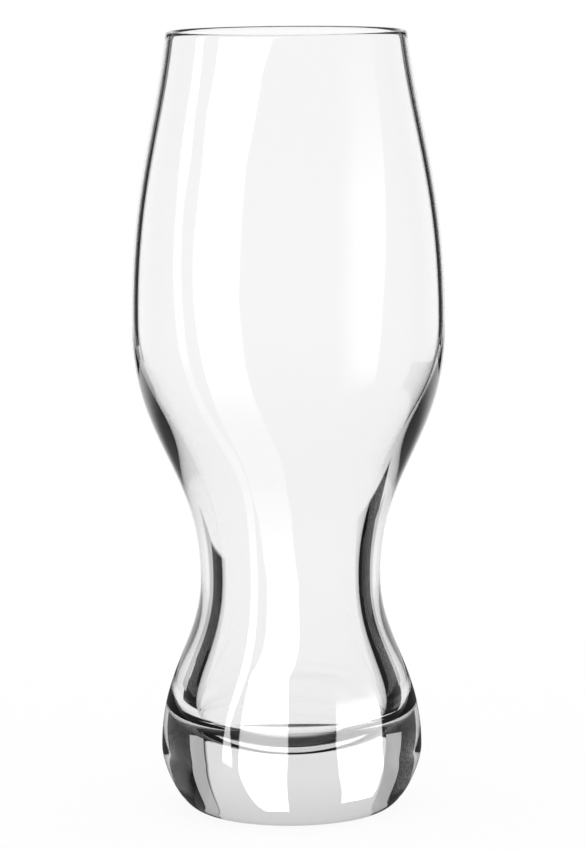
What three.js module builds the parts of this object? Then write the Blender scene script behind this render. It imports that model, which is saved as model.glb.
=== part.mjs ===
// Craft beer glass: one piece of clear glass with a tulip bowl, a thick-walled waist and a
// lower chamber over a heavy solid base. All sizes are in millimetres, +Z is up, and the
// origin is the centre of the circle that the glass stands on.

import * as THREE from 'three';

// Outer surface: radius and height of each station, from the table to the rim
const height = 196;
const rimRadius = 30;
const bellyRadius = 39.2;
const bellyHeight = 123.4;
const waistRadius = 22.6;
const waistHeight = 59;
const baseRadius = 32.9;
const baseHeight = 15.8;
const footRadius = 23.1;

// How far the outer curve keeps its direction at each station before it bends away
const rimRun = 23.6;
const bellyRunUp = 33.8;
const bellyRunDown = 30.4;
const waistRunUp = 28.1;
const waistRunDown = 16.1;
const baseRunUp = 19.9;
const baseRunDown = 5;
const heelRun = 5;

// The wall leans in towards the rim by this angle, in degrees
const rimLean = 7;

// Wall thickness at each station, measured level, and the glass under the chamber floor
const rimWall = 1.9;
const bellyWall = 1.5;
const waistWall = 5.4;
const floorThickness = 14.8;

// Inner surface: the chamber and how far the inner curve runs straight at each station
const chamberRadius = 24.4;
const chamberHeight = 25.4;
const innerRimRun = 23.6;
const innerBellyRunUp = 33.8;
const innerBellyRunDown = 27.5;
const innerWaistRunUp = 31;
const innerWaistRunDown = 16.5;
const chamberRunUp = 8;
const chamberRunDown = 4.5;
const floorRun = 13;

// Underside: a flat ring that bears on the table round a shallow dished centre
const bearingWidth = 2.6;
const dishDepth = 1.4;

// Fineness of the surface
const segmentsAround = 72;
const stepsLong = 8;
const stepsShort = 5;
const stepsLip = 6;

const clearGlass = new THREE.MeshStandardMaterial({
  color: 0xf3f5f4,
  roughness: 0.03,
  metalness: 0,
  transparent: true,
  opacity: 0.35,
});

const point = (radius, z) => new THREE.Vector2(radius, z);

// A curve between two stations where the wall stands upright, set by its two straight runs
function upright(from, runFrom, to, runTo) {
  const way = Math.sign(to.y - from.y);
  return new THREE.CubicBezierCurve(
    from,
    point(from.x, from.y + way * runFrom),
    point(to.x, to.y - way * runTo),
    to,
  );
}

// From a belly station up to a rim point, where the wall leans in
function towardsRim(belly, runFrom, rim, runTo) {
  const lean = THREE.MathUtils.degToRad(rimLean);
  return new THREE.CubicBezierCurve(
    belly,
    point(belly.x, belly.y + runFrom),
    point(rim.x + runTo * Math.sin(lean), rim.y - runTo * Math.cos(lean)),
    rim,
  );
}

const reversed = (points) => points.slice().reverse();

// Underside, from the axis out to the heel
function underside() {
  const dishRadius = footRadius - bearingWidth;
  const dish = new THREE.QuadraticBezierCurve(
    point(0, dishDepth),
    point(dishRadius / 2, dishDepth),
    point(dishRadius, 0),
  );
  return dish.getPoints(stepsShort);
}

// Outer surface, from the bearing ring up to the lip
function outside() {
  const foot = point(footRadius, 0);
  const base = point(baseRadius, baseHeight);
  const waist = point(waistRadius, waistHeight);
  const belly = point(bellyRadius, bellyHeight);
  const rim = point(rimRadius, height - rimWall / 2);
  const heel = new THREE.CubicBezierCurve(
    foot,
    point(footRadius + heelRun, 0),
    point(baseRadius, baseHeight - baseRunDown),
    base,
  );
  return [
    ...heel.getPoints(stepsLong - 1),
    ...upright(base, baseRunUp, waist, waistRunDown).getPoints(stepsLong).slice(1),
    ...upright(waist, waistRunUp, belly, bellyRunDown).getPoints(stepsLong).slice(1),
    ...towardsRim(belly, bellyRunUp, rim, rimRun).getPoints(stepsShort).slice(1),
  ];
}

// Fire-polished lip: a half circle across the rim wall
function lip() {
  const radius = rimWall / 2;
  const round = new THREE.EllipseCurve(rimRadius - radius, height - radius, radius, radius, 0, Math.PI);
  return round.getPoints(stepsLip).slice(1, -1);
}

// Inner surface, from the chamber floor up to the lip
function inside() {
  const floor = point(0, floorThickness);
  const chamber = point(chamberRadius, chamberHeight);
  const waist = point(waistRadius - waistWall, waistHeight);
  const belly = point(bellyRadius - bellyWall, bellyHeight);
  const rim = point(rimRadius - rimWall, height - rimWall / 2);
  const bottom = new THREE.CubicBezierCurve(
    floor,
    point(floorRun, floorThickness),
    point(chamberRadius, chamberHeight - chamberRunDown),
    chamber,
  );
  return [
    ...bottom.getPoints(stepsLong),
    ...upright(chamber, chamberRunUp, waist, innerWaistRunDown).getPoints(stepsShort + 2).slice(1),
    ...upright(waist, innerWaistRunUp, belly, innerBellyRunDown).getPoints(stepsLong).slice(1),
    ...towardsRim(belly, innerBellyRunUp, rim, innerRimRun).getPoints(stepsShort).slice(1),
  ];
}

// The whole section, once round the glass from the axis under the base to the axis on the floor
function section() {
  return [...underside(), ...outside(), ...lip(), ...reversed(inside())];
}

function beerGlass() {
  const geometry = new THREE.LatheGeometry(section(), segmentsAround);
  geometry.rotateX(Math.PI / 2);
  const mesh = new THREE.Mesh(geometry, clearGlass);
  mesh.name = 'beer_glass';
  return mesh;
}

const craftBeerGlass = new THREE.Group();
craftBeerGlass.add(beerGlass());

export default craftBeerGlass;
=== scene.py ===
"""Craft beer glass: the looks of the glass and its studio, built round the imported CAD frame.

Every length is in metres and every angle in radians, in the frame of the CAD part: +Z is up and
the origin is the centre of the circle that the glass stands on.
"""

import math

import bmesh
import bpy
from mathutils import Matrix, Vector


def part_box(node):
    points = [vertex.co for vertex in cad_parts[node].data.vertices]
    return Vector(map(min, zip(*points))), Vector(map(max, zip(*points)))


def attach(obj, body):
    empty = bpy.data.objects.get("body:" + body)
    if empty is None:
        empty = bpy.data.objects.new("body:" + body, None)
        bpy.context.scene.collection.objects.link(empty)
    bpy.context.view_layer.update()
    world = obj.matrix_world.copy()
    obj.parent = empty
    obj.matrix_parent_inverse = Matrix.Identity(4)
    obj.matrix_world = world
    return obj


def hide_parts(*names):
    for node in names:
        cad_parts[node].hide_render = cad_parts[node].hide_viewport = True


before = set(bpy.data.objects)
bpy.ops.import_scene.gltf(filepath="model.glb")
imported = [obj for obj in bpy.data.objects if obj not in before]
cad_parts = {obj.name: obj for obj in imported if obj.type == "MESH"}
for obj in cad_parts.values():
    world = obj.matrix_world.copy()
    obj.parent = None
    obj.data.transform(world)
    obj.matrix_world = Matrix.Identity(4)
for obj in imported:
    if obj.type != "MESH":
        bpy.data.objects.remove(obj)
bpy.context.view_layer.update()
CAD_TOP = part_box("beer_glass")[1]

bl_info = {
    "name": "Craft Beer Glass",
    "version": (1, 0, 0),
    "blender": (4, 5, 0),
    "location": "View3D > Sidebar > Beer Glass",
    "description": "Builds a clear tulip beer glass and the bright studio it stands in",
    "category": "Object",
}

MM = 0.001
STEPS_AROUND = 224
SAME_POINT = 1e-6
SODA_LIME_IOR = 1.52
SENSOR_WIDTH = 36  # in millimetres, as a camera counts it
WHITE = [1, 1, 1, 1]

FLOOR_RADIUS = 300 * MM
FLOOR_STEPS = 96
FLOOR_DROP = 0.1 * MM

# The softbox fronts are one sleeve round the camera's side of the glass
SLEEVE_LOW = -75 * MM
SLEEVE_HIGH = 215 * MM
SLEEVE_HALF_TURN = math.radians(75)
SLEEVE_STEPS = 60

# A ray that crossed fewer faces of the glass than this stayed in one wall or in the base, and one that
# crossed more went through the hollow
HOLLOW_FACES = 3

# A ray that met the glass fewer times than this went through one wall or the base unmirrored
MIRRORED_MEETINGS = 3


def linear(code):
    """Linear colour of an sRGB hex value."""
    shares = [((code >> shift) & 255) / 255 for shift in (16, 8, 0)]
    return [s / 12.92 if s <= 0.04045 else ((s + 0.055) / 1.055) ** 2.4 for s in shares]


def size(name, description, millimetres):
    """A length that the panel shows, with its default in millimetres."""
    return bpy.props.FloatProperty(
        name=name, description=description, default=millimetres * MM, min=0, unit="LENGTH", precision=4
    )


def angle(name, description, degrees):
    """An angle that the panel shows, with its default in degrees."""
    return bpy.props.FloatProperty(
        name=name, description=description, default=math.radians(degrees), subtype="ANGLE"
    )


def amount(name, description, default):
    """A plain number that the panel shows."""
    return bpy.props.FloatProperty(name=name, description=description, default=default, min=0)


def tint(name, description, code):
    """A colour that the panel shows, with its default as an sRGB hex value."""
    return bpy.props.FloatVectorProperty(
        name=name, description=description, default=linear(code), size=3, min=0, max=1, subtype="COLOR"
    )


class GlassShape(bpy.types.PropertyGroup):
    """Stations of the outer and inner wall, and how far each curve runs straight at a station."""

    height: size("Height", "Table to the top of the lip", CAD_TOP.z / MM)
    belly_radius: size("Belly radius", "Outer radius at the widest part of the bowl", CAD_TOP.x / MM)
    rim_radius: size("Rim radius", "Outer radius just under the lip", 30)
    belly_height: size("Belly height", "Height of the widest part of the bowl", 123.4)
    waist_radius: size("Waist radius", "Outer radius at the narrowest part", 22.6)
    waist_height: size("Waist height", "Height of the narrowest part", 59)
    base_radius: size("Base radius", "Outer radius at the widest part of the base", 32.9)
    base_height: size("Base height", "Height of the widest part of the base", 15.8)
    foot_radius: size("Foot radius", "Outer radius of the ring that bears on the table", 23.1)
    rim_run: size("Rim run", "Straight run of the outer curve below the lip", 23.6)
    belly_run_up: size("Belly run up", "Straight run above the belly", 33.8)
    belly_run_down: size("Belly run down", "Straight run below the belly, outside", 30.4)
    waist_run_up: size("Waist run up", "Straight run above the waist, outside", 28.1)
    waist_run_down: size("Waist run down", "Straight run below the waist, outside", 16.1)
    base_run_up: size("Base run up", "Straight run above the base station", 19.9)
    base_run_down: size("Base run down", "Straight run below the base station", 5)
    heel_run: size("Heel run", "Level run of the heel beside the foot ring", 5)
    rim_lean: angle("Rim lean", "Inward lean of the wall at the lip", 7)
    rim_wall: size("Rim wall", "Wall thickness at the lip", 1.9)
    belly_wall: size("Belly wall", "Wall thickness at the belly", 1.5)
    waist_wall: size("Waist wall", "Wall thickness at the waist", 5.4)
    floor_thickness: size("Floor thickness", "Glass under the middle of the chamber floor", 14.8)
    chamber_radius: size("Chamber radius", "Inner radius at the widest part of the chamber", 24.4)
    chamber_height: size("Chamber height", "Height of the widest part of the chamber", 25.4)
    inner_belly_run_down: size("Inner belly run down", "Straight run below the belly, inside", 27.5)
    inner_waist_run_up: size("Inner waist run up", "Straight run above the waist, inside", 31)
    inner_waist_run_down: size("Inner waist run down", "Straight run below the waist, inside", 16.5)
    chamber_run_up: size("Chamber run up", "Straight run above the widest part of the chamber", 8)
    chamber_run_down: size("Chamber run down", "Straight run below it", 4.5)
    floor_run: size("Floor run", "Level run of the chamber floor from the axis", 13)
    bearing_width: size("Bearing width", "Width of the flat ring that bears on the table", 2.6)
    dish_depth: size("Dish depth", "Depth of the dished centre under the base", 1.4)


class GlassFinish(bpy.types.PropertyGroup):
    """The clear glass."""

    surface: tint("Surface colour", "What the two faces of a wall leave of the light", 0xFDFDFD)
    body: tint("Body colour", "What a thick length of the glass leaves of the light", 0xF3F3F3)
    body_density: amount("Body density", "How soon the body colour shows, per metre", 36)
    roughness: amount("Roughness", "Fire-polished glass is almost perfectly smooth", 0.0)
    waviness: size("Waviness", "Height of the faint waves that blowing leaves", 0.002)
    wave_length: size("Wave length", "Distance from one faint wave to the next", 14)


class Studio(bpy.types.PropertyGroup):
    """The room, the softboxes and the camera."""

    dark_tone: amount("Dark side", "Brightness of the dark parts of the room", 0.0)
    grey_tone: amount("Grey card", "Brightness of the grey cards", 0.58)
    front_tone: amount("Room in front", "Brightness of the camera's side of the room", 0.25)
    dark_from_left: angle("Dark side from, left", "Azimuth where the left dark side starts", 30)
    dark_from_right: angle("Dark side from, right", "Azimuth where the right dark side starts", 25)
    dark_step: angle("Dark side step", "How much further out both start, from just below level up", 5.5)
    dark_to: angle("Dark side to", "Azimuth where a dark side ends", 68)
    dark_low_left: angle("Dark side low left", "Lowest elevation of the left dark side", -17)
    dark_low_right: angle("Dark side low right", "Lowest elevation of the right dark side", -33)
    dark_top: angle("Dark side top", "Highest elevation of the dark sides", 50)
    table_edge_behind: angle("Table edge behind", "Elevation where it gets dark behind the glass", -44)
    table_edge_beside: angle("Table edge beside", "Elevation where it gets dark beside the glass", -28)
    black_card_tone: amount("Dark card", "Brightness of the high dark cards", 0.04)
    low_card_tone: amount("Low dark card", "Brightness of the low dark cards", 0.1)
    wall_top_tone: amount("Top of the white field", "Brightness of the white field high up", 0.84)
    card_distance: size("Card distance", "From the axis back to the cards", 200)
    side_card_distance: size("Side card distance", "From the axis back to the white side cards", 104)
    softbox_reach: size("Softbox reach", "From the axis to the softbox fronts", 42)
    softbox_slant: amount("Softbox slant", "Rise of the ends towards the sides, metres a radian", 0.016)
    floor_lift: amount("Floor lift", "Share of the floor's white that its shadow leaves alone", 0.9)
    # Painted shade on the floor as the base shows it: how far in front of the axis it is full, where it
    # has faded out, and its tone
    painted_shade_full_to: size("Foot dim", "Distance in front of the axis within which the floor is dim", 18)
    painted_shade_gone_at: size("Foot lit", "Distance in front of the axis from which the floor is fully lit", 32)
    painted_shade_tone: amount("Foot tone", "Brightness of the dim floor under the solid base", 0.02)
    camera_distance: size("Camera distance", "Camera to the axis of the glass", 1000)
    camera_height: size("Camera height", "Camera above the table", 234.42)
    camera_aside: size("Camera aside", "Camera to the right of the axis", 0.8)
    camera_pitch: angle("Camera pitch", "How far the camera looks down", 7.8)
    camera_roll: angle("Camera roll", "How far the camera leans clockwise", 0.45)
    lens: bpy.props.FloatProperty(
        name="Lens", description="Focal length of the camera", default=170.5, min=1, unit="CAMERA"
    )


# Curves and meshes


def station(radius, z):
    """A point of a section in the XZ half plane."""
    return Vector((radius, 0, z))


def curve(start, first, last, end, steps):
    """Points along a cubic curve, without its end."""
    points = []
    for step in range(steps):
        t = step / steps
        near = start * (1 - t) ** 3 + first * (3 * t * (1 - t) ** 2)
        points.append(near + last * (3 * t * t * (1 - t)) + end * t ** 3)
    return points


def upright(low, run_up, high, run_down, steps):
    """A curve between two stations where the wall stands upright, without its end."""
    return curve(low, low + station(0, run_up), high - station(0, run_down), high, steps)


def towards_rim(belly, run_up, rim, run_down, lean, steps):
    """A curve from a belly station up to a rim point, where the wall leans in."""
    below = rim + station(run_down * math.sin(lean), -run_down * math.cos(lean))
    return curve(belly, belly + station(0, run_up), below, rim, steps)


def glass_section(shape):
    """Points of the section, from the axis under the base, round the lip, to the axis inside."""
    long_steps, short_steps, lip_steps = 40, 24, 14
    foot = station(shape.foot_radius, 0)
    base = station(shape.base_radius, shape.base_height)
    waist = station(shape.waist_radius, shape.waist_height)
    belly = station(shape.belly_radius, shape.belly_height)
    lip_radius = shape.rim_wall / 2
    rim = station(shape.rim_radius, shape.height - lip_radius)
    dish = station(shape.foot_radius - shape.bearing_width, 0)
    deep = station(0, shape.dish_depth)
    corner = station(dish.x / 2, shape.dish_depth)
    pull = 2 / 3  # turns the dish's one corner into the two inner points of a cubic curve

    outside = curve(deep, deep + (corner - deep) * pull, dish + (corner - dish) * pull, dish, lip_steps)
    outside.append(dish)
    heel = foot + station(shape.heel_run, 0)
    outside += curve(foot, heel, base - station(0, shape.base_run_down), base, short_steps)
    outside += upright(base, shape.base_run_up, waist, shape.waist_run_down, long_steps)
    outside += upright(waist, shape.waist_run_up, belly, shape.belly_run_down, long_steps)
    outside += towards_rim(belly, shape.belly_run_up, rim, shape.rim_run, shape.rim_lean, long_steps)

    middle = rim - station(lip_radius, 0)
    lip = []
    for step in range(lip_steps):
        turn = math.pi * step / lip_steps
        lip.append(middle + station(lip_radius * math.cos(turn), lip_radius * math.sin(turn)))

    floor = station(0, shape.floor_thickness)
    chamber = station(shape.chamber_radius, shape.chamber_height)
    waist_in = waist - station(shape.waist_wall, 0)
    belly_in = belly - station(shape.belly_wall, 0)
    rim_in = rim - station(shape.rim_wall, 0)
    floor_end = floor + station(shape.floor_run, 0)
    inside = curve(floor, floor_end, chamber - station(0, shape.chamber_run_down), chamber, long_steps)
    inside += upright(chamber, shape.chamber_run_up, waist_in, shape.inner_waist_run_down, short_steps)
    inside += upright(
        waist_in, shape.inner_waist_run_up, belly_in, shape.inner_belly_run_down, long_steps
    )
    inside += towards_rim(belly_in, shape.belly_run_up, rim_in, shape.rim_run, shape.rim_lean, long_steps)
    inside.append(rim_in)
    return outside + lip + inside[::-1]


def spun(points, turn, steps):
    """A bmesh of a chain of points, spun round the Z axis. A full turn is closed."""
    mesh = bmesh.new()
    chain = [mesh.verts.new(point) for point in points]
    edges = [mesh.edges.new(pair) for pair in zip(chain, chain[1:])]
    full = math.isclose(turn, math.tau)
    bmesh.ops.spin(
        mesh, geom=chain + edges, cent=(0, 0, 0), axis=(0, 0, 1), dvec=(0, 0, 0), angle=turn,
        steps=steps, use_merge=full, use_normal_flip=False, use_duplicate=False,
    )
    bmesh.ops.remove_doubles(mesh, verts=mesh.verts, dist=SAME_POINT)
    bmesh.ops.recalc_face_normals(mesh, faces=mesh.faces)
    return mesh


def placed(name, mesh, material, smooth=True):
    """The finished bmesh as an object at the origin, with one material."""
    for face in mesh.faces:
        face.smooth = smooth
    data = bpy.data.meshes.new(name)
    mesh.to_mesh(data)
    mesh.free()
    data.materials.append(material)
    piece = bpy.data.objects.new(name, data)
    bpy.context.scene.collection.objects.link(piece)
    return piece


# Nodes


def add_node(tree, kind, inputs=None, **settings):
    """Adds a node with its settings. An input is a value, or the node or output that feeds it."""
    made = tree.nodes.new(kind)
    for key, value in settings.items():
        setattr(made, key, value)
    for key, value in (inputs or {}).items():
        if isinstance(value, bpy.types.Node):
            value = value.outputs[0]
        if isinstance(value, bpy.types.NodeSocket):
            tree.links.new(value, made.inputs[key])
        else:
            made.inputs[key].default_value = value
    return made


def new_material(name):
    """An empty node material and its output node."""
    material = bpy.data.materials.new(name)
    material.use_nodes = True
    material.node_tree.nodes.clear()
    return material, add_node(material.node_tree, "ShaderNodeOutputMaterial")


def clear_soda_lime_glass(finish):
    """Blown and fire-polished soda-lime glass: smooth and colourless, so it shows only by what it bends
    and mirrors. Blowing leaves waves far too faint to see by themselves, but they make the dark lines
    along the edges run a little unevenly. A long way through the base it turns slightly grey."""
    material, output = new_material("clear_soda_lime_glass")
    tree = material.node_tree
    place = add_node(tree, "ShaderNodeTexCoord").outputs["Object"]
    waves = add_node(
        tree, "ShaderNodeTexNoise", {"Vector": place, "Scale": 1 / finish.wave_length, "Detail": 1}
    )
    bump = add_node(
        tree, "ShaderNodeBump",
        {"Height": waves.outputs["Fac"], "Distance": finish.waviness, "Strength": 1},
    )
    glass = add_node(
        tree, "ShaderNodeBsdfPrincipled",
        {
            "Base Color": [*finish.surface, 1],
            "Roughness": finish.roughness,
            "IOR": SODA_LIME_IOR,
            "Transmission Weight": 1,
            "Normal": bump.outputs["Normal"],
        },
    )
    body = add_node(
        tree, "ShaderNodeVolumeAbsorption", {"Color": [*finish.body, 1], "Density": finish.body_density}
    )
    tree.links.new(glass.outputs["BSDF"], output.inputs["Surface"])
    tree.links.new(body.outputs["Volume"], output.inputs["Volume"])
    return material


def white_floor_with_painted_shade(studio):
    """Matt white card, lit evenly. It fades into the white room, and the shadow on it is soft. Seen
    through the glass it glows white where the view crossed the hollow or went straight down through the
    base.
    Where the base mirrored the view down to it, it carries a painted shade instead: a near-black glow
    under and behind the foot, fading to white in front of it."""
    # Distances from the axis over which the floor fades away, and does so seen through the glass
    fade_from, fade_to = 130 * MM, 280 * MM
    glass_fade_from, glass_fade_to = 40 * MM, 45 * MM

    material, output = new_material("matt_white_card")
    tree = material.node_tree
    place = add_node(tree, "ShaderNodeTexCoord").outputs["Object"]
    away = add_node(tree, "ShaderNodeVectorMath", {0: place}, operation="LENGTH").outputs["Value"]
    ray = add_node(tree, "ShaderNodeLightPath")
    card = add_node(tree, "ShaderNodeBsdfDiffuse", {"Color": [*linear(0xFDFDFD), 1]})
    white = add_node(tree, "ShaderNodeEmission", {"Color": WHITE, "Strength": 1})
    lift = add_node(
        tree, "ShaderNodeMath", {0: ray.outputs["Is Camera Ray"], 1: studio.floor_lift},
        operation="MULTIPLY",
    )
    seen = add_node(tree, "ShaderNodeMixShader", {0: lift, 1: card, 2: white})
    # Painted shade under the foot: seen through the glass, the floor glows only a near-black tone up to
    # some way in front of the axis, and fades to white further forward
    parts = add_node(tree, "ShaderNodeSeparateXYZ", {"Vector": place})
    front = add_node(tree, "ShaderNodeMath", {0: parts.outputs["Y"], 1: -1}, operation="MULTIPLY")
    lit = add_node(
        tree, "ShaderNodeMapRange",
        {"Value": front, "From Min": studio.painted_shade_full_to, "From Max": studio.painted_shade_gone_at,
         "To Min": studio.painted_shade_tone},
        interpolation_type="SMOOTHSTEP",
    )
    # Where the view crossed the hollow or came straight through the base, the floor seen through the glass
    # stays white, without the painted shade
    hollow = add_node(
        tree, "ShaderNodeMath", {0: ray.outputs["Transmission Depth"], 1: HOLLOW_FACES},
        operation="GREATER_THAN",
    )
    straight = add_node(
        tree, "ShaderNodeMath", {0: ray.outputs["Ray Depth"], 1: MIRRORED_MEETINGS}, operation="LESS_THAN"
    )
    open_way = add_node(tree, "ShaderNodeMath", {0: hollow, 1: straight}, operation="MAXIMUM")
    under = add_node(tree, "ShaderNodeMath", {0: lit, 1: open_way}, operation="MAXIMUM")
    through = add_node(tree, "ShaderNodeEmission", {"Strength": under})
    floor = add_node(
        tree, "ShaderNodeMixShader", {0: ray.outputs["Is Transmission Ray"], 1: seen, 2: through}
    )
    clear = add_node(tree, "ShaderNodeBsdfTransparent")
    fades = []
    for start, end in ((fade_from, fade_to), (glass_fade_from, glass_fade_to)):
        fades.append(add_node(
            tree, "ShaderNodeMapRange",
            {"Value": away, "From Min": start, "From Max": end}, interpolation_type="SMOOTHSTEP",
        ))
    unseen = add_node(
        tree, "ShaderNodeMath", {0: ray.outputs["Is Transmission Ray"], 1: fades[1]}, operation="MULTIPLY"
    )
    fade = add_node(tree, "ShaderNodeMath", {0: fades[0], 1: unseen}, operation="MAXIMUM")
    mixed = add_node(tree, "ShaderNodeMixShader", {0: fade, 1: floor, 2: clear})
    tree.links.new(mixed.outputs["Shader"], output.inputs["Surface"])
    return material


def softbox_cloth(studio, fronts):
    """White diffuser cloth of the softboxes, evenly lit, with feathered edges. Each front gives its lower
    end, the softness of its two edges in degrees, and its left edge, right edge and brightness as lines
    of (height in mm, degrees or brightness). Azimuth counts from the camera's side towards the left.
    Above the belly the glass mirrors a front only from close by, so that its outline stays clear. How
    close grows from the belly to the rim."""
    # Heights between which the limit comes in, and between which it grows, and its two values
    limited, unlimited = 110 * MM, 100 * MM
    belly, rim = 125 * MM, 194 * MM
    belly_gap, rim_gap = 10.5 * MM, 19 * MM

    material, output = new_material("white_diffuser_cloth")
    material.cycles.emission_sampling = "NONE"
    tree = material.node_tree
    place = add_node(tree, "ShaderNodeTexCoord")
    parts = add_node(tree, "ShaderNodeSeparateXYZ", {"Vector": place.outputs["Object"]})
    side = add_node(tree, "ShaderNodeMath", {0: parts.outputs["X"], 1: -1}, operation="MULTIPLY")
    near = add_node(tree, "ShaderNodeMath", {0: parts.outputs["Y"], 1: -1}, operation="MULTIPLY")
    azimuth = add_node(tree, "ShaderNodeMath", {0: side, 1: near}, operation="ARCTAN2")
    turned = add_node(tree, "ShaderNodeMath", {0: azimuth}, operation="DEGREES")
    aside = add_node(tree, "ShaderNodeMath", {0: azimuth}, operation="ABSOLUTE")
    slant = add_node(tree, "ShaderNodeMath", {0: aside, 1: studio.softbox_slant}, operation="MULTIPLY")
    depth = add_node(tree, "ShaderNodeMath", {0: parts.outputs["Z"], 1: slant}, operation="SUBTRACT")
    share = add_node(tree, "ShaderNodeMath", {0: parts.outputs["Z"], 1: CAD_TOP.z}, operation="DIVIDE")
    ray = add_node(tree, "ShaderNodeLightPath")
    gap = add_node(
        tree, "ShaderNodeMapRange",
        {"Value": parts.outputs["Z"], "From Min": belly, "From Max": rim,
         "To Min": belly_gap, "To Max": rim_gap},
    )
    any_gap = add_node(
        tree, "ShaderNodeMapRange",
        {"Value": parts.outputs["Z"], "From Min": limited, "From Max": unlimited},
    )
    limit = add_node(tree, "ShaderNodeMath", {0: gap, 1: any_gap}, operation="ADD")
    close = add_node(
        tree, "ShaderNodeMath", {0: limit, 1: ray.outputs["Ray Length"]}, operation="SUBTRACT"
    )
    light = 0
    for end, left_soft, right_soft, *lines in fronts:
        drawn = []
        for line in lines:
            node = add_node(tree, "ShaderNodeFloatCurve", {"Value": share})
            node.mapping.use_clip = False
            knots = node.mapping.curves[0].points
            for _ in line[2:]:
                knots.new(0, 0)
            for knot, (height, value) in zip(knots, line):
                knot.location = (height * MM / CAD_TOP.z, value)
                knot.handle_type = "VECTOR"
            node.mapping.update()
            drawn.append(node)
        left, right, strength = drawn
        inner = add_node(tree, "ShaderNodeMath", {0: left, 1: turned}, operation="SUBTRACT")
        outer = add_node(tree, "ShaderNodeMath", {0: turned, 1: right}, operation="SUBTRACT")
        inside = 1
        for value, edge, soft in (
            (inner, 0, left_soft), (outer, 0, right_soft), (depth, end * MM, MM), (close, 0, MM),
        ):
            step = add_node(
                tree, "ShaderNodeMapRange",
                {"Value": value, "From Min": edge - soft, "From Max": edge + soft},
                interpolation_type="SMOOTHSTEP",
            )
            inside = add_node(tree, "ShaderNodeMath", {0: inside, 1: step}, operation="MULTIPLY")
        light = add_node(
            tree, "ShaderNodeMath", {0: inside, 1: strength, 2: light}, operation="MULTIPLY_ADD"
        )
    cloth = add_node(tree, "ShaderNodeEmission", {"Strength": light})
    clear = add_node(tree, "ShaderNodeBsdfTransparent")
    both = add_node(tree, "ShaderNodeAddShader", {0: cloth, 1: clear})
    tree.links.new(both.outputs["Shader"], output.inputs["Surface"])
    return material


def matt_card(name, tone, mirrored_times):
    """Matt card of an even tone. It hides the white field where the glass bends the view onto it. Light
    that crosses the hollow doesn't show it. A card can also ask how often the light was mirrored at the
    least, because the edge of the bowl's thin wall mirrors it once."""
    material, output = new_material(name)
    material.cycles.emission_sampling = "NONE"
    tree = material.node_tree
    card = add_node(tree, "ShaderNodeEmission", {"Strength": tone})
    clear = add_node(tree, "ShaderNodeBsdfTransparent")
    ray = add_node(tree, "ShaderNodeLightPath")
    hollow = add_node(
        tree, "ShaderNodeMath", {0: ray.outputs["Transmission Depth"], 1: HOLLOW_FACES},
        operation="GREATER_THAN",
    )
    direct = add_node(
        tree, "ShaderNodeMath", {0: ray.outputs["Glossy Depth"], 1: mirrored_times},
        operation="LESS_THAN",
    )
    missed = add_node(tree, "ShaderNodeMath", {0: hollow, 1: direct}, operation="MAXIMUM")
    shown = add_node(tree, "ShaderNodeMixShader", {0: missed, 1: card, 2: clear})
    tree.links.new(shown.outputs["Shader"], output.inputs["Surface"])
    return material


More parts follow.
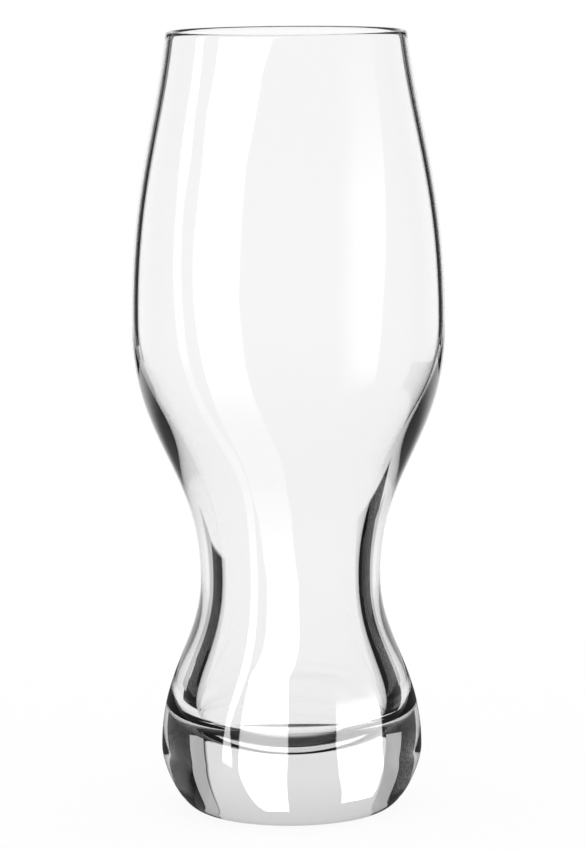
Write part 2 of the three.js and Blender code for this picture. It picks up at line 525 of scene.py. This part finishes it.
def bright_field_world(studio):
    """A white room, with a dark side each way of the white field behind the glass, and dark below the
    edge of the table. Clear glass shows dark edges against a white field only where it bends the view
    onto something dark. Light that crosses the hollow sees only the white field, which dims a little
    towards the top. Seen from the glass, the camera's side of the room is dim, so the outer face
    mirrors little of it. Azimuth counts from straight behind the glass."""
    # Softness of the dark parts, and half the azimuth over which left values pass to right ones
    feather, middle = math.radians(1), 0.1

    # Elevations between which the dark sides step outwards
    step_low, step_high = math.radians(-7), math.radians(-5)

    # Azimuths where the table's edge has risen to its side value, and where it ends
    beside, edge_end = math.radians(60), math.radians(110)

    # Elevations between which the white field dims
    wall_even, wall_top = math.radians(5), math.radians(24)

    # The outer face mirrors white from this far back, as Y of the direction, and this close to level
    mirror_dim, mirror_bright = 0.3, 0.85
    mirror_level, mirror_tilted = math.radians(12), math.radians(22)

    world = bpy.data.worlds.new("bright_field")
    world.use_nodes = True
    tree = world.node_tree
    tree.nodes.clear()
    output = add_node(tree, "ShaderNodeOutputWorld")
    way = add_node(tree, "ShaderNodeTexCoord")
    parts = add_node(tree, "ShaderNodeSeparateXYZ", {"Vector": way.outputs["Generated"]})
    azimuth = add_node(
        tree, "ShaderNodeMath", {0: parts.outputs["X"], 1: parts.outputs["Y"]}, operation="ARCTAN2"
    )
    aside = add_node(tree, "ShaderNodeMath", {0: azimuth}, operation="ABSOLUTE")
    level = add_node(tree, "ShaderNodeMath", {0: parts.outputs["Z"]}, operation="ARCSINE")
    lines = []
    for left, right in (
        (studio.dark_from_left, studio.dark_from_right), (studio.dark_low_left, studio.dark_low_right),
    ):
        lines.append(add_node(
            tree, "ShaderNodeMapRange",
            {"Value": azimuth, "From Min": -middle, "From Max": middle, "To Min": left, "To Max": right},
        ))
    stepped = add_node(
        tree, "ShaderNodeMapRange",
        {"Value": level, "From Min": step_low, "From Max": step_high, "To Max": studio.dark_step},
    )
    start = add_node(tree, "ShaderNodeMath", {0: lines[0], 1: stepped}, operation="ADD")
    within = add_node(tree, "ShaderNodeMath", {0: aside, 1: start}, operation="SUBTRACT")
    raised = add_node(tree, "ShaderNodeMath", {0: level, 1: lines[1]}, operation="SUBTRACT")
    table_edge = add_node(
        tree, "ShaderNodeMapRange",
        {"Value": aside, "From Max": beside,
         "To Min": studio.table_edge_behind, "To Max": studio.table_edge_beside},
    )
    lowered = add_node(tree, "ShaderNodeMath", {0: table_edge, 1: level}, operation="SUBTRACT")
    ray = add_node(tree, "ShaderNodeLightPath")
    solid = add_node(
        tree, "ShaderNodeMath", {0: ray.outputs["Transmission Depth"], 1: HOLLOW_FACES},
        operation="LESS_THAN",
    )
    direct = add_node(
        tree, "ShaderNodeMath", {0: ray.outputs["Glossy Depth"], 1: 1}, operation="LESS_THAN"
    )

    # Each dark part: which light sees it, and its borders as (value, border, 1 above or -1 below it)
    dark_parts = (
        (1, ((within, 0, 1), (aside, studio.dark_to, -1), (raised, 0, 1), (level, studio.dark_top, -1))),
        (direct, ((lowered, 0, 1), (aside, edge_end, -1))),
    )
    field = 0
    for part, limits in dark_parts:
        for value, edge, way_in in limits:
            step = add_node(
                tree, "ShaderNodeMapRange",
                {"Value": value, "From Min": edge - way_in * feather, "From Max": edge + way_in * feather},
                interpolation_type="SMOOTHSTEP",
            )
            part = add_node(tree, "ShaderNodeMath", {0: part, 1: step}, operation="MULTIPLY")
        field = add_node(tree, "ShaderNodeMath", {0: field, 1: part}, operation="MAXIMUM")
    field = add_node(tree, "ShaderNodeMath", {0: field, 1: solid}, operation="MULTIPLY")
    wall = add_node(
        tree, "ShaderNodeMapRange",
        {"Value": level, "From Min": wall_even, "From Max": wall_top,
         "To Min": 1, "To Max": studio.wall_top_tone},
    )
    through = add_node(
        tree, "ShaderNodeMix", {"Factor": field, "A": wall, "B": studio.dark_tone}, data_type="FLOAT"
    )
    seen = add_node(
        tree, "ShaderNodeMix", {"Factor": ray.outputs["Is Transmission Ray"], "A": 1, "B": through},
        data_type="FLOAT",
    )
    behind = add_node(
        tree, "ShaderNodeMapRange",
        {"Value": parts.outputs["Y"], "From Min": mirror_dim, "From Max": mirror_bright},
        interpolation_type="SMOOTHSTEP",
    )
    tilt = add_node(tree, "ShaderNodeMath", {0: level}, operation="ABSOLUTE")
    even = add_node(
        tree, "ShaderNodeMapRange",
        {"Value": tilt, "From Min": mirror_tilted, "From Max": mirror_level},
        interpolation_type="SMOOTHSTEP",
    )
    bright = add_node(tree, "ShaderNodeMath", {0: behind, 1: even}, operation="MULTIPLY")
    room = add_node(
        tree, "ShaderNodeMix", {"Factor": bright, "A": studio.front_tone, "B": 1}, data_type="FLOAT"
    )
    mirror = add_node(
        tree, "ShaderNodeMath",
        {0: ray.outputs["Is Glossy Ray"], 1: ray.outputs["Is Transmission Ray"]},
        operation="GREATER_THAN",
    )
    tone = add_node(tree, "ShaderNodeMix", {"Factor": mirror, "A": seen, "B": room}, data_type="FLOAT")
    white = add_node(tree, "ShaderNodeBackground", {"Color": WHITE, "Strength": tone})
    tree.links.new(white.outputs["Background"], output.inputs["Surface"])
    return world


# Operators


class BEERGLASS_OT_body(bpy.types.Operator):
    """Builds the glass body and puts it in place of the CAD node"""

    bl_idname = "beer_glass.body"
    bl_label = "Build Glass Body"

    def execute(self, context):
        scene = context.scene
        mesh = spun(glass_section(scene.glass_shape), math.tau, STEPS_AROUND)
        piece = placed("glass_body", mesh, clear_soda_lime_glass(scene.glass_finish))
        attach(piece, "root")
        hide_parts("beer_glass")
        return {"FINISHED"}


class BEERGLASS_OT_stage(bpy.types.Operator):
    """Sets the floor, the white room, the softboxes and the camera"""

    bl_idname = "beer_glass.stage"
    bl_label = "Set Studio"

    def execute(self, context):
        scene = context.scene
        studio = scene.glass_studio
        self.lay_floor(studio)
        self.hang_softboxes(studio)
        self.stand_cards(studio)
        scene.world = bright_field_world(studio)
        self.aim_camera(scene, studio)
        scene.view_settings.view_transform = "Standard"
        return {"FINISHED"}

    def lay_floor(self, studio):
        mesh = bmesh.new()
        below = Matrix.Translation((0, 0, -FLOOR_DROP))
        bmesh.ops.create_circle(
            mesh, cap_ends=True, segments=FLOOR_STEPS, radius=FLOOR_RADIUS, matrix=below
        )
        floor = placed("floor", mesh, white_floor_with_painted_shade(studio), smooth=False)
        floor.visible_glossy = False

    def hang_softboxes(self, studio):
        """Four softbox fronts on the camera's side, whose mirror images are the glass's highlights"""
        wide = (
            -55, 0.6, 0.6,
            (
                (-20, 29), (20, 29), (47, 30), (56, 21), (63, 31), (83, 32), (108, 34), (117, 35.5),
                (132, 39), (144, 40.5), (156, 41.1), (168, 42.7), (180, 45.3), (190, 44), (194, 43.5),
            ),
            (
                (-20, 3), (10, 3), (20, 2), (47, 2), (56, -8), (63, 2), (83, 7), (108, 15), (117, 17),
                (132, 19.1), (156, 19.1), (168, 19), (180, 16), (190, 13.7), (194, 10.6),
            ),
            (
                (-20, 12), (45, 12), (53, 9), (57, 4), (61, 1.8), (66, 1), (95, 0.9), (104, 1.6),
                (112, 3), (194, 3),
            ),
        )
        narrow = (
            5, 0.5, 0.5,
            (
                (-20, 39), (28, 39), (55, 38), (83, 41), (108, 44), (117, 46.2), (132, 49.3),
                (144, 51.7), (156, 53.8), (168, 58), (180, 61), (194, 62.4),
            ),
            (
                (-20, 33), (18, 33), (28, 36), (55, 31), (83, 34), (108, 40), (117, 42), (132, 45),
                (144, 47), (156, 49.1), (168, 50), (180, 53.4), (194, 55),
            ),
            (
                (-20, 12), (45, 12), (53, 9), (57, 4), (61, 1.8), (66, 1), (95, 0.9), (112, 1),
                (122, 2.4), (130, 3), (194, 3),
            ),
        )
        right_low = (
            -31, 0.6, 0.6,
            ((-20, -41), (9, -26), (22, -24), (38, -28), (60, -28)),
            ((-20, -70), (5, -57), (19, -54), (34, -59), (60, -59)),
            ((-20, 12), (30, 12), (38, 0.6), (46, 0), (60, 0)),
        )
        right_high = (
            100, 7, 0.6,
            ((100, -24), (132, -24), (158, -27), (176, -33), (194, -36)),
            ((100, -35.5), (119, -37), (132, -39), (145, -42.5), (157, -46), (175, -53), (194, -58)),
            ((100, 0), (108, 0.4), (116, 2.2), (155, 2.2), (165, 1.6), (177, 0.9), (194, 0.3)),
        )
        start = -math.pi / 2 - SLEEVE_HALF_TURN
        reach = studio.softbox_reach
        bottom = Vector((reach * math.cos(start), reach * math.sin(start), SLEEVE_LOW))
        rise = Vector((0, 0, SLEEVE_HIGH - SLEEVE_LOW))
        mesh = spun([bottom, bottom + rise], 2 * SLEEVE_HALF_TURN, SLEEVE_STEPS)
        cloth = softbox_cloth(studio, (wide, narrow, right_low, right_high))
        front = placed("softbox_fronts", mesh, cloth)
        front.visible_camera = False
        front.visible_diffuse = False
        front.visible_transmission = False
        front.visible_shadow = False

    def stand_cards(self, studio):
        """Cards each side behind the glass, seen only through it or mirrored by it. The grey ones lean
        over the base and differ in width, as the grey bars at the two sides of the base do."""
        far, near = studio.card_distance, studio.side_card_distance

        # Name, brightness, lower and upper edge, lean towards the glass, width left at the top,
        # whether it is seen through the glass and mirrored by it, and the two ends of its foot
        cards = (
            ("grey_card", studio.grey_tone, -0.012, 0.085, 0.060, 0.625, True, False,
             (((0.097, far), (0.136, far)), ((-0.112, far), (-0.172, far)))),
            ("dark_card", studio.black_card_tone, 0.070, 0.260, 0, 1, True, True,
             (((0.110, far), (0.185, far)), ((-0.110, far), (-0.185, far)))),
            ("white_card", 1, 0.070, 0.260, 0, 1, True, False,
             (((0.115, near), (0.148, 0.020)), ((-0.115, near), (-0.148, 0.020)))),
            ("black_low_card", studio.low_card_tone, -0.060, 0.028, 0, 1, False, True,
             (((0.045, 0.105), (0.120, 0.010)), ((-0.045, 0.105), (-0.120, 0.010)))),
        )
        for name, tone, low, high, lean, taper, seen, mirrored, places in cards:
            card = matt_card("matt_" + name, tone, 1 if mirrored else 0)
            for place in places:
                mesh = bmesh.new()
                edge = mesh.edges.new([mesh.verts.new((x, y, low)) for x, y in place])
                raised = bmesh.ops.extrude_edge_only(mesh, edges=[edge])["geom"]
                top = [part for part in raised if isinstance(part, bmesh.types.BMVert)]
                bmesh.ops.translate(mesh, vec=(0, -lean, high - low), verts=top)
                bmesh.ops.scale(mesh, vec=(taper, 1, 1), verts=top)
                panel = placed(name, mesh, card, smooth=False)
                panel.visible_camera = False
                panel.visible_diffuse = False
                panel.visible_transmission = seen
                panel.visible_glossy = mirrored
                panel.visible_shadow = False

    def aim_camera(self, scene, studio):
        data = bpy.data.cameras.new("camera")
        data.lens = studio.lens
        data.sensor_width = SENSOR_WIDTH
        camera = bpy.data.objects.new("camera", data)
        scene.collection.objects.link(camera)
        spot = Vector((studio.camera_aside, -studio.camera_distance, studio.camera_height))
        camera.matrix_world = (
            Matrix.Translation(spot)
            @ Matrix.Rotation(math.pi / 2 - studio.camera_pitch, 4, "X")
            @ Matrix.Rotation(-studio.camera_roll, 4, "Z")
        )
        scene.camera = camera


class BEERGLASS_PT_panel(bpy.types.Panel):
    """Lists the steps of the build"""

    bl_label = "Beer Glass"
    bl_idname = "BEERGLASS_PT_panel"
    bl_space_type = "VIEW_3D"
    bl_region_type = "UI"
    bl_category = "Beer Glass"

    def draw(self, context):
        for step in (BEERGLASS_OT_body, BEERGLASS_OT_stage):
            self.layout.operator(step.bl_idname)
        for group in ("glass_shape", "glass_finish", "glass_studio"):
            box = self.layout.box()
            values = getattr(context.scene, group)
            for name in values.__annotations__:
                box.prop(values, name)


CLASSES = (GlassShape, GlassFinish, Studio, BEERGLASS_OT_body, BEERGLASS_OT_stage, BEERGLASS_PT_panel)
GROUPS = {"glass_shape": GlassShape, "glass_finish": GlassFinish, "glass_studio": Studio}


def register():
    for item in CLASSES:
        bpy.utils.register_class(item)
    for name, group in GROUPS.items():
        setattr(bpy.types.Scene, name, bpy.props.PointerProperty(type=group))


def unregister():
    for name in GROUPS:
        delattr(bpy.types.Scene, name)
    for item in reversed(CLASSES):
        bpy.utils.unregister_class(item)


def main():
    register()
    bpy.ops.beer_glass.body()
    bpy.ops.beer_glass.stage()


if __name__ == "__main__":
    main()
